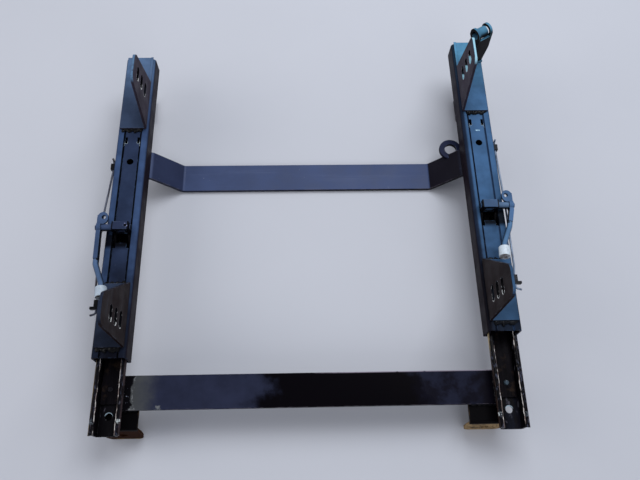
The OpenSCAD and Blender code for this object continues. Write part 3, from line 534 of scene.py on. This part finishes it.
def front_bar_paint():
    """Satin paint on the front bar, with a burnt end, a shiny patch painted black as a dark reflection, a
    blotched right end, painted shade by the right rail and a painted highlight on the rear edge.
    """
    finish = Finish("front_bar_paint", specular=0.04)
    across, along = finish.place["X"], finish.place["Y"]
    ragged = finish.wavering(across, 60, 6, 5 * MM)
    cloudy = finish.wavering(across, 26, 5, 30 * MM, 0.2, 0.8)
    colour = finish.mottled(tint(38, 42, 62), 24, 0.18)
    overspray = finish.ramp(ragged, BURNT_END, BURNT_END + OVERSPRAY, 0.85, 0)
    colour = finish.mix(overspray, colour, tint(78, 80, 80))
    # Painted reflection: a shiny patch painted black
    gloss_and_dark_reflection = finish.all_of(finish.ramp(cloudy, *GLOSSY_REFLECTION_FROM), finish.ramp(cloudy, *GLOSSY_REFLECTION_TO))
    colour = finish.mix(gloss_and_dark_reflection, colour, tint(6, 4, 8))
    blotched = finish.all_of(finish.ramp(ragged, *BLOTCH_FROM),
                             finish.ramp(finish.grain(48, 6), 0.4, 0.62, 0.45, 1))
    colour = finish.mix(blotched, colour, tint(13, 12, 24))
    # Painted shade in the strip by the right rail
    colour = finish.mix(finish.ramp(ragged, *RAIL_SHADE_FROM, 0, 0.9), colour, tint(9, 6, 15))

    # Burnt left end, with its pale rim and weld spatter
    burnt = finish.ramp(ragged, BURNT_END, BURNT_END - 2 * MM)
    colour = finish.mix(burnt, colour, tint(9, 8, 13))
    rim = finish.all_of(finish.band(ragged, BURNT_END + 1 * MM, 0.3 * MM, 1.2 * MM),
                        finish.ramp(finish.grain(150, 3), 0.4, 0.6))
    colour = finish.mix(rim, colour, tint(128, 130, 132))
    spatter = finish.all_of(burnt, finish.ramp(finish.grain(420, 2), 0.66, 0.72))
    colour = finish.mix(spatter, colour, tint(150, 156, 176))

    # One chip near the front edge, worn edges and a painted highlight on the rear edge
    from_chip = finish.wavering(finish.distance(across, along, CHIP_AT), 520, 4, 2.2 * MM, 0.2, 0.8)
    colour = finish.mix(finish.ramp(from_chip, 3.4 * MM, 1.2 * MM, 0, 0.75), colour, tint(118, 121, 122))
    worn = finish.all_of(finish.edges(0.8 * MM), finish.ramp(finish.grain(160, 5), 0.42, 0.6, 0, 0.8))
    colour = finish.mix(worn, colour, tint(122, 116, 128))
    # Painted highlight along the rear edge
    bare = finish.all_of(finish.ramp(along, *REAR_EDGE_HIGHLIGHT), finish.ramp(cloudy, *HIGHLIGHT_FROM),
                         finish.ramp(finish.grain(110, 4), 0.3, 0.44, 0, 0.9))
    colour = finish.mix(bare, colour, tint(158, 148, 164))
    return finish.close(colour, finish.ramp(gloss_and_dark_reflection, 0, 1, 0.46, 0.2))


def rear_bar_paint():
    """Satin blue-grey paint on the rear bar, with painted shade on its slopes, outside its right knee and
    underneath.
    """
    finish = Finish("rear_bar_paint")
    level = finish.ramp(finish.faces["Z"], 0.75, 0.95)
    # Painted shade on the slopes, darker on the right one
    slope = finish.mix(finish.right_side(), tint(41, 49, 76), tint(15, 12, 24))
    colour = finish.mix(level, slope, tint(60, 73, 108))
    # Painted shade outside the right knee
    colour = finish.mix(finish.ramp(finish.place["X"], *RIGHT_KNEE, 0, 0.9), colour, tint(16, 13, 25))
    # Painted shade on the faces turned down
    under = finish.ramp(finish.faces["Z"], 0.2, -0.2)
    colour = finish.mix(under, colour, tint(24, 23, 29))
    colour = finish.mottled(colour, 20, 0.12)
    brushed = finish.ramp(finish.grain(140, 4, stretch=(0.06, 1, 1)), 0.55, 0.75, 0, 0.2)
    colour = finish.mix(finish.all_of(level, brushed), colour, tint(88, 100, 134))
    specks = finish.ramp(finish.grain(260, 2), 0.74, 0.78, 0, 0.5)
    colour = finish.mix(specks, colour, tint(120, 128, 148))
    worn = finish.all_of(finish.edges(0.8 * MM), finish.ramp(finish.grain(120, 5), 0.42, 0.6, 0, 0.75))
    colour = finish.mix(worn, colour, tint(118, 112, 126))
    return finish.close(colour, finish.ramp(finish.grain(40, 5), 0.3, 0.7, 0.36, 0.5))


def worn_foot():
    """Front feet: black paint worn through to brown rust on the left flange and to tan steel on the right."""
    finish = Finish("worn_foot", specular=0.03)
    right = finish.right_side()
    height = finish.place["Z"]
    bare = finish.mottled(finish.mix(right, tint(50, 28, 18), tint(150, 126, 92)), 120, 0.3)
    pits = finish.ramp(finish.grain(300, 5), 0.48, 0.64, 0, 0.7)
    bare = finish.mix(pits, bare, tint(36, 22, 14))
    rim = finish.all_of(finish.ramp(height, *FLANGE_RIM), finish.ramp(finish.grain(130, 4), 0.36, 0.5))
    bare = finish.mix(rim, bare, finish.mix(right, tint(112, 90, 50), tint(178, 154, 118)))
    worn = finish.all_of(finish.ramp(height, *FLANGE_TOP), finish.ramp(finish.grain(60, 5), 0.3, 0.44))
    colour = finish.mix(worn, finish.mottled(tint(6, 5, 7), 40, 0.25), bare)
    corners = finish.all_of(finish.edges(0.9 * MM), finish.ramp(finish.grain(150, 5), 0.42, 0.62, 0, 0.8))
    colour = finish.mix(corners, colour, tint(112, 90, 66))
    return finish.close(colour, finish.ramp(worn, 0, 1, 0.4, 0.72), peel=0.3, peel_scale=420)


def bare_steel(name, light, dark, rough, metallic, rub=tint(150, 146, 142), shine=0.12):
    """Dull bare steel with drawn lines along its length and brown stains."""
    finish = Finish(name, metallic=metallic, specular=shine)
    drawn = finish.grain(380, 4, stretch=(1, 0.06, 1))
    colour = finish.mix(finish.ramp(drawn, 0.35, 0.7), dark, light)
    stains = finish.ramp(finish.grain(85, 5), 0.52, 0.7, 0, 0.6)
    colour = finish.mix(stains, colour, tint(54, 42, 34))
    rubbed = finish.all_of(finish.edges(0.8 * MM), finish.ramp(finish.grain(200, 4), 0.44, 0.6, 0, 0.8))
    colour = finish.mix(rubbed, colour, rub)
    roughness = finish.ramp(finish.grain(120, 4), 0.3, 0.7, rough - 0.08, rough + 0.12)
    return finish.close(colour, roughness, peel=0.2, peel_scale=700)


def bush_plastic():
    """White plastic bush, dirty in patches, painted dimmer on the left and with painted shade on its front
    face.
    """
    finish = Finish("bush_plastic", specular=0.5)
    finish.shader.inputs["Subsurface Weight"].default_value = 0.06
    finish.shader.inputs["Subsurface Radius"].default_value = (2 * MM, 2 * MM, 2 * MM)
    right = finish.right_side()
    # Painted light: the left bush is painted dimmer than the right
    colour = finish.mottled(finish.mix(right, tint(174, 188, 202), tint(204, 216, 226)), 160, 0.06)
    grime = finish.ramp(finish.grain(240, 6), 0.5, 0.72, 0, 0.5)
    colour = finish.mix(grime, colour, tint(150, 142, 128))
    # Painted shade on the front face, deeper on the left
    front = finish.all_of(finish.ramp(finish.faces["Y"], -0.6, -0.9),
                          finish.ramp(finish.grain(160, 4), 0.3, 0.6))
    colour = finish.mix(front, colour, finish.mix(right, tint(34, 26, 22), tint(104, 90, 78)))
    return finish.close(colour, finish.ramp(finish.grain(200, 4), 0.3, 0.7, 0.34, 0.52), peel=0.08)


def glide_plastic():
    """Natural plastic of the slide pads, smeared with grease."""
    finish = Finish("glide_plastic", specular=0.5)
    colour = finish.mottled(tint(196, 190, 172), 90, 0.08)
    grease = finish.ramp(finish.grain(70, 5, stretch=(1, 0.2, 1)), 0.48, 0.66, 0, 0.85)
    colour = finish.mix(grease, colour, tint(46, 40, 34))
    return finish.close(colour, finish.ramp(grease, 0, 1, 0.45, 0.2))


# Paints, each with its left top, right top, wall and worn colours, then its wear and roughness;
# the two front-shaded ones start with the strength of the painted front shade, left and right, and the
# lighter rear wall's colour
# The tops and walls carry painted light: lit blue tops, lighter on the right, and shaded brown walls
rail_paint = RailPaint("rail_paint", 0.9, 0.92, tint(32, 28, 37)).coat(
    tint(42, 53, 78), tint(62, 94, 131), tint(28, 22, 28), tint(86, 112, 148), 0.75, 0.4)
bracket_paint = BracketPaint("bracket_paint", 0.78, 0.43, tint(54, 48, 59)).coat(
    tint(60, 73, 98), tint(66, 100, 137), tint(30, 21, 22), tint(104, 112, 128), 0.85, 0.44)
saddle_paint = BlackPaint("saddle_paint", shine=0.06).coat(
    tint(42, 51, 76), tint(62, 90, 126), tint(12, 13, 18), tint(106, 122, 146), 0.85, 0.36)
claw_paint = ClawPaint("claw_paint", shine=0.06).coat(
    tint(42, 51, 76), tint(62, 90, 126), tint(12, 13, 18), tint(106, 122, 146), 0.85, 0.36)
sleeve_paint = BlackPaint("sleeve_paint", shine=0.06).coat(
    tint(58, 72, 102), tint(90, 116, 148), tint(14, 16, 22), tint(106, 122, 146), 0.85, 0.36)
arm_paint = BlackPaint("arm_paint", shine=0.06).coat(
    tint(62, 80, 112), tint(70, 100, 138), tint(16, 18, 25), tint(106, 122, 146), 0.85, 0.36)
rod_paint = BlackPaint("rod_paint").coat(
    tint(76, 99, 133), tint(78, 112, 148), tint(20, 24, 33), tint(116, 130, 148), 0.6, 0.36)
stay_paint = BlackPaint("stay_paint", shine=0.04).coat(
    tint(30, 34, 46), tint(58, 92, 118), tint(13, 10, 13), tint(126, 186, 206), 0.9, 0.4)
# The ring's rubbed-edge colour is a painted highlight on its rounded edges
ring_paint = BlackPaint("ring_paint", shine=0.06).coat(
    tint(30, 34, 54), tint(34, 39, 64), tint(13, 11, 19), tint(104, 118, 154), 0.95, 0.36)
weld_paint = BlackPaint("weld_paint").coat(
    tint(8, 8, 11), tint(11, 13, 19), tint(7, 6, 9), tint(84, 96, 116), 0.3, 0.32)

# Steels, each with its light and dark colours, roughness and metallic share
rack_steel = bare_steel("rack_steel", tint(19, 16, 21), tint(7, 6, 9), 0.4, 0.0,
                        rub=tint(34, 32, 38), shine=0.03)
# Painted light: the right rivets are painted lighter and bluer, as lit, and the left ones dark
rivet_steel_lit_and_shaded = {"left": bare_steel("left_rivet_steel", tint(30, 28, 34), tint(12, 11, 15), 0.36, 0.0,
                                  rub=tint(60, 58, 64), shine=0.04),
               "right": bare_steel("right_rivet_steel", tint(72, 88, 100), tint(30, 40, 50), 0.36, 0.3)}
# Painted light: the right wire is painted lighter, as lit, and the left one darker
wire_steel_lit_and_shaded = {"left": bare_steel("left_wire_steel", tint(108, 114, 130), tint(56, 57, 68), 0.4, 0.3),
              "right": bare_steel("right_wire_steel", tint(150, 166, 190), tint(92, 104, 124), 0.4, 0.2)}


def dress(names, material):
    """Gives CAD nodes their finish."""
    for name in names:
        mesh = frame["nodes"][name].data
        mesh.materials.clear()
        mesh.materials.append(material)


dress(both("upper_rail", "rear_foot"), rail_paint)
dress(both("front_bracket", "rear_bracket"), bracket_paint)
dress(["buckle_stay", "buckle_collar"], stay_paint)
dress(["belt_ring"], ring_paint)
dress(both("spring_clip", "spring_tab"), weld_paint)
dress(both("pivot_saddle", "pivot_pin"), saddle_paint)
dress(both("pivot_sleeve"), sleeve_paint)
dress(both("lock_claw"), claw_paint)
dress(both("lever_arm"), arm_paint)
dress(both("lever_rod"), rod_paint)
dress(both("lever_bush"), bush_plastic())
dress(both("lower_rail"), greased_steel())
dress(both("lock_rack"), rack_steel)
dress(both("glides"), glide_plastic())
dress(["front_cross_bar"], front_bar_paint())
dress(["rear_cross_bar"], rear_bar_paint())
dress(both("front_foot"), worn_foot())
for side in SIDES:
    dress([f"{side}_rack_rivets"], rivet_steel_lit_and_shaded[side])
    dress([f"{side}_return_spring"], wire_steel_lit_and_shaded[side])


def finish_piece(piece, material, body):
    """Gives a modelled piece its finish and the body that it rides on."""
    piece.data.materials.append(material)
    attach(piece, body)
    return piece


def weld_bead(name, start, end, up, width, body):
    """One row of overlapping ripples from start to end, a little uneven along its run."""
    run = Vector(end) - Vector(start)
    bpy.ops.object.select_all(action="DESELECT")
    bpy.ops.mesh.primitive_uv_sphere_add(segments=14, ring_count=8, radius=width / 2)
    bead = bpy.context.object
    bead.name = name
    bpy.ops.object.mode_set(mode="EDIT")
    bpy.ops.transform.resize(value=RIPPLE_SHAPE)
    bpy.ops.transform.rotate(value=math.radians(RIPPLE_LEAN), orient_axis="Y", center_override=(0, 0, 0))
    count = max(3, round(run.length / (width * RIPPLE_STEP)) + 1)
    step = run.length / (count - 1)
    (sway_by, sway_pace), (swell_by, swell_pace) = RIPPLE_SWAY, RIPPLE_SWELL
    drift = 0.0
    for ripple in range(1, count):
        sway = width * sway_by * math.sin(sway_pace * ripple + len(name))
        bpy.ops.mesh.duplicate_move(TRANSFORM_OT_translate={"value": (step, sway - drift, 0)})
        swell = 1 + swell_by * math.sin(swell_pace * ripple) - swell_by * math.sin(swell_pace * (ripple - 1))
        bpy.ops.transform.resize(value=(1, swell, swell))
        drift = sway
    bpy.ops.mesh.select_all(action="SELECT")
    bpy.ops.transform.vertex_random(offset=width * RIPPLE_ROUGH, seed=len(name))
    bpy.ops.object.mode_set(mode="OBJECT")
    fused = bead.modifiers.new("fused", "REMESH")
    fused.mode = "VOXEL"
    fused.voxel_size = width / BEAD_VOXELS
    bpy.ops.object.modifier_apply(modifier="fused")
    along = run.normalized()
    upright = (Vector(up) - along * along.dot(Vector(up))).normalized()
    turn = Matrix((along, upright.cross(along), upright)).transposed().to_4x4()
    bead.matrix_world = Matrix.Translation(start) @ turn
    bpy.ops.object.transform_apply(location=True, rotation=True, scale=True)
    bpy.ops.object.shade_smooth()
    return finish_piece(bead, weld_paint, body)


def bent_bar(name, stops, bends, thick, material, body):
    """A round bar: a disc drawn along each straight run between the stops and spun round each bend."""
    stops = [Vector(stop) for stop in stops]
    bpy.ops.object.select_all(action="DESELECT")
    heading = (stops[1] - stops[0]).normalized()
    facing = heading.to_track_quat("Z", "Y").to_euler()
    bpy.ops.mesh.primitive_circle_add(vertices=BAR_SIDES, radius=thick / 2, fill_type="NGON",
                                      location=stops[0], rotation=facing)
    bar = bpy.context.object
    bar.name = name
    bpy.ops.object.transform_apply(location=True, rotation=True, scale=True)
    bpy.ops.object.mode_set(mode="EDIT")
    bpy.ops.mesh.select_all(action="SELECT")
    here = stops[0]
    for corner, beyond, bend in zip(stops[1:-1], stops[2:], bends):
        leaving = (beyond - corner).normalized()
        turn = heading.angle(leaving)
        back = bend * math.tan(turn / 2)
        bend_start = corner - heading * back
        bpy.ops.mesh.extrude_region_move(TRANSFORM_OT_translate={"value": bend_start - here})
        axis = heading.cross(leaving).normalized()
        bend_middle = bend_start + axis.cross(heading) * bend
        bpy.ops.mesh.spin(steps=BEND_STEPS, angle=-turn, center=bend_middle, axis=axis)
        here = corner + leaving * back
        heading = leaving
    bpy.ops.mesh.extrude_region_move(TRANSFORM_OT_translate={"value": stops[-1] - here})
    bpy.ops.mesh.bevel(offset=thick * END_EASE, segments=3)
    bpy.ops.mesh.select_all(action="SELECT")
    bpy.ops.mesh.remove_doubles(threshold=0.01 * MM)
    bpy.ops.mesh.normals_make_consistent(inside=False)
    bpy.ops.object.mode_set(mode="OBJECT")
    bpy.ops.object.shade_smooth_by_angle(angle=math.radians(SMOOTH_UNDER))
    return finish_piece(bar, material, body)


def eye_plate(name, hole, middle, body):
    """A sheet ring round the spring hole, drawn out wider than the arm's tail, with eased edges."""
    bpy.ops.object.select_all(action="DESELECT")
    bpy.ops.mesh.primitive_circle_add(vertices=PLATE_SIDES, radius=EYE_HOLE / 2, fill_type="NOTHING",
                                      location=hole)
    plate = bpy.context.object
    plate.name = name
    bpy.ops.object.transform_apply(location=True, rotation=True, scale=True)
    bpy.ops.object.mode_set(mode="EDIT")
    bpy.ops.mesh.select_all(action="SELECT")
    bpy.ops.mesh.duplicate_move(TRANSFORM_OT_translate={"value": middle - hole})
    bpy.ops.transform.resize(value=(PLATE_WIDE / EYE_HOLE, PLATE_LONG / EYE_HOLE, 1), center_override=middle)
    bpy.ops.mesh.select_all(action="SELECT")
    bpy.ops.mesh.bridge_edge_loops()
    bpy.ops.mesh.select_all(action="SELECT")
    bpy.ops.mesh.extrude_region_move(TRANSFORM_OT_translate={"value": (0, 0, -PLATE_THICK)})
    bpy.ops.mesh.select_all(action="SELECT")
    bpy.ops.mesh.normals_make_consistent(inside=False)
    bpy.ops.object.mode_set(mode="OBJECT")
    eased = plate.modifiers.new("eased", "BEVEL")
    eased.width = PLATE_EASE
    eased.segments = 3
    bpy.ops.object.modifier_apply(modifier="eased")
    bpy.ops.object.shade_smooth_by_angle(angle=math.radians(SMOOTH_UNDER))
    return finish_piece(plate, arm_paint, body)


def ring_and_stay_welds():
    """The belt ring on the rear bar's slope, and the buckle stay's foot on the right rear bracket."""
    ring = Vector(mounts["belt_ring_bore"]["pos_m"])
    slope_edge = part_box("rear_cross_bar")[1][1]
    low, high = ((ring.x + across, slope_edge, ring.z + up) for across, up in RING_RUN)
    weld_bead("belt_ring_weld", low, high, (0, 1, 0.6), BEAD_WIDE["belt_ring"], "frame")
    foot = Vector((RAIL_X + STAY_OUT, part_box("right_rear_bracket")[1][1] - STAY_AHEAD,
                   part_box("right_upper_rail")[1][2] + BASE_THICK))
    half = STAY_RUN * Vector((math.cos(math.radians(STAY_TURN)), math.sin(math.radians(STAY_TURN)), 0))
    weld_bead("buckle_stay_weld", foot - half, foot + half, (0, -0.4, 1), BEAD_WIDE["buckle_stay"],
              "right_slider")


def bracket_welds(side, sign):
    """The seat brackets' bases on the upper rail."""
    inner, outer = (sign * (RAIL_X + reach) for reach in BRACKET_RUN)
    rail_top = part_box(f"{side}_upper_rail")[1][2]
    front_lo, front_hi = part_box(f"{side}_front_bracket")
    rear_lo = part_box(f"{side}_rear_bracket")[0]
    for end, y in (("front_bracket_front", front_lo[1] - BRACKET_AHEAD),
                   ("front_bracket_rear", front_hi[1] + BRACKET_BEHIND),
                   ("rear_bracket_front", rear_lo[1] - BRACKET_AHEAD)):
        weld_bead(f"{side}_{end}_weld", (inner, y, rail_top), (outer, y, rail_top), (0, 0, 1), BEAD_WIDE[end],
                  f"{side}_slider")


def frame_welds(side, sign):
    """The lower rail on its cross bars, and the feet."""
    bar_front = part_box("front_cross_bar")[0][1]
    bar_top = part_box("front_cross_bar")[1][2]
    wall = sign * (RAIL_X - WALL_IN)
    for bar in ("front", "rear"):
        bar_lo, bar_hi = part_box(f"{bar}_cross_bar")
        weld_bead(f"{side}_{bar}_bar_weld", (wall, bar_lo[1] + BAR_INSET, bar_top),
                  (wall, bar_hi[1] - BAR_INSET, bar_top), (-sign, 0, 1), BEAD_WIDE["bar"],
                  "frame")
    foot_lo, foot_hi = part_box(f"{side}_front_foot")
    weld_bead(f"{side}_front_foot_weld", (foot_lo[0] + FOOT_INSET, bar_front, foot_hi[2]),
              (foot_hi[0] - FOOT_INSET, bar_front, foot_hi[2]), (0, -1, 1), BEAD_WIDE["front_foot"],
              "frame")
    rail_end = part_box(f"{side}_lower_rail")[1][1]
    weld_bead(f"{side}_rear_foot_weld", (sign * RAIL_X - REAR_FOOT_RUN, rail_end, bar_top),
              (sign * RAIL_X + REAR_FOOT_RUN, rail_end, bar_top), (0, 1, 1), BEAD_WIDE["rear_foot"],
              "frame")


def lock_lever(side, sign):
    """The rod from the arm's end through its bends into the bush, its weld, and the plate round the eye."""
    lever = f"{side}_lever"
    pivot = Vector(joints[f"{side}_lock"]["pos_m"])
    reach, inward = ARMS[side][0] - ARM_BEND, math.radians(ARMS[side][1])
    rise = math.cos(inward) * math.tan(math.radians(ARM_UP))
    way = Vector((-sign * math.sin(inward), -math.cos(inward), rise))
    arm_end = pivot + Vector((sign * LEVER_OUT, -ARM_BEND, 0)) + way * reach
    way.normalize()
    bush_axis = Vector(mounts[f"{side}_handle_bush"]["axis"])
    knee = Vector(mounts[f"{side}_handle_bush"]["pos_m"]) - bush_axis * BUSH_MID
    stops = (arm_end - way * ROD_SUNK, arm_end + way * ROD_LEAD, knee, knee + bush_axis * ROD_IN_BUSH)
    rod = bent_bar(f"{side}_bent_rod", stops, (ROD_BEND, ROD_BEND), ROD_THICK, rod_paint, lever)
    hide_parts(f"{side}_lever_rod")
    seam = arm_end + Vector((-sign * ROD_SEAM[0], 0, ROD_SEAM[1]))
    weld_bead(f"{side}_rod_weld", seam - way * ROD_RUN[0], seam + way * ROD_RUN[1], (-sign, 0, 0.8),
              BEAD_WIDE["rod"], lever)
    hole, middle = (pivot + Vector((sign * out, back, PLATE_TOP)) for out, back in (EYE_AT, PLATE_AT))
    eye_plate(f"{side}_eye_plate", hole, middle, lever)


def return_spring(side, sign):
    """The spring wire: turned up behind its clip, bowed off the rail at the lever, hooked before its tab."""
    lever_y = joints[f"{side}_lock"]["pos_m"][1]
    wire_lo, wire_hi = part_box(f"{side}_return_spring")
    tab_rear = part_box(f"{side}_spring_tab")[1][1]
    line = Vector(((wire_lo[0] + wire_hi[0]) / 2, 0, (wire_lo[2] + wire_hi[2]) / 2))
    rear, front = wire_hi[1], wire_lo[1]
    route = ((0, rear + WIRE_UP[0], WIRE_UP[1]), (0, rear + WIRE_TURN, 0), (0, rear - WIRE_LEAD, 0),
             (WIRE_BOW[side], lever_y + WIRE_PEAK, 0), (WIRE_AHEAD[side], tab_rear + WIRE_AT_TAB[0], 0),
             (0, tab_rear + WIRE_AT_TAB[1], 0), (0, front - WIRE_HOOK[0], 0),
             (WIRE_TIP, front - WIRE_HOOK[1], 0))
    stops = [line + Vector((sign * off, y, up)) for off, y, up in route]
    wire = bent_bar(f"{side}_spring_wire", stops, WIRE_BENDS, wire_hi[2] - wire_lo[2], wire_steel_lit_and_shaded[side],
                    f"{side}_slider")
    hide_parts(f"{side}_return_spring")


ring_and_stay_welds()
for side, sign in SIDES.items():
    bracket_welds(side, sign)
    frame_welds(side, sign)
    lock_lever(side, sign)
    return_spring(side, sign)


def soft_lamp(name, place, aim, size, watts, colour):
    """A rectangular lamp at a place, turned towards its aim."""
    lamp = bpy.data.lights.new(name, "AREA")
    lamp.shape = "RECTANGLE"
    lamp.size, lamp.size_y = size
    lamp.energy = watts
    lamp.color = colour
    holder = bpy.data.objects.new(name, lamp)
    bpy.context.scene.collection.objects.link(holder)
    holder.location = place
    holder.rotation_euler = (Vector(aim) - Vector(place)).to_track_quat("-Z", "Y").to_euler()


def studio():
    """A pale floor, one large soft lamp behind and above, and two fills."""
    bpy.ops.object.select_all(action="DESELECT")
    bpy.ops.mesh.primitive_plane_add(size=8, location=(0, -0.2, -0.2 * MM))
    floor = bpy.context.object
    floor.name = "studio_floor"
    pale = Finish("studio_floor", roughness=0.8)
    colour = pale.mottled(tint(198, 200, 208), 3, 0.01)
    pale.tree.links.new(colour, pale.shader.inputs["Base Color"])
    floor.data.materials.append(pale.material)
    middle = (0, -0.2, 0.05)
    soft_lamp("back_lamp", (0.4, 0.6, 1.5), middle, (1.3, 1.0), 19, (0.94, 0.97, 1.0))
    soft_lamp("left_lamp", (-1.3, -0.2, 0.9), middle, (0.9, 0.9), 5, (1.0, 0.98, 0.95))
    soft_lamp("front_lamp", (0.5, -1.5, 1.0), middle, (1.0, 0.8), 3.5, (1.0, 1.0, 1.0))
    world = bpy.data.worlds.new("studio_light")
    bpy.context.scene.world = world
    world.use_nodes = True
    sky = world.node_tree.nodes["Background"]
    sky.inputs["Color"].default_value = (0.86, 0.9, 1.0, 1)
    sky.inputs["Strength"].default_value = 0.4
    bpy.context.scene.view_settings.view_transform = "Standard"


def photo_camera():
    """The photograph's viewpoint: high in front of the frame, looking down and back."""
    pitch, yaw, roll = (math.radians(angle) for angle in (CAMERA_PITCH, CAMERA_YAW, CAMERA_ROLL))
    ahead = Vector((math.sin(yaw) * math.cos(pitch), math.cos(yaw) * math.cos(pitch), -math.sin(pitch)))
    level = Vector((math.cos(yaw), -math.sin(yaw), 0))
    down = ahead.cross(level)
    right = math.cos(roll) * level + math.sin(roll) * down
    lower = math.cos(roll) * down - math.sin(roll) * level
    lens = bpy.data.cameras.new("photo_camera")
    lens.sensor_fit = "HORIZONTAL"
    lens.sensor_width = LENS
    lens.lens = LENS
    lens.clip_start = 0.01
    camera = bpy.data.objects.new("photo_camera", lens)
    bpy.context.scene.collection.objects.link(camera)
    turn = Matrix((right, -lower, -ahead)).transposed().to_4x4()
    camera.matrix_world = Matrix.Translation(CAMERA_AT) @ turn
    bpy.context.scene.camera = camera


studio()
photo_camera()
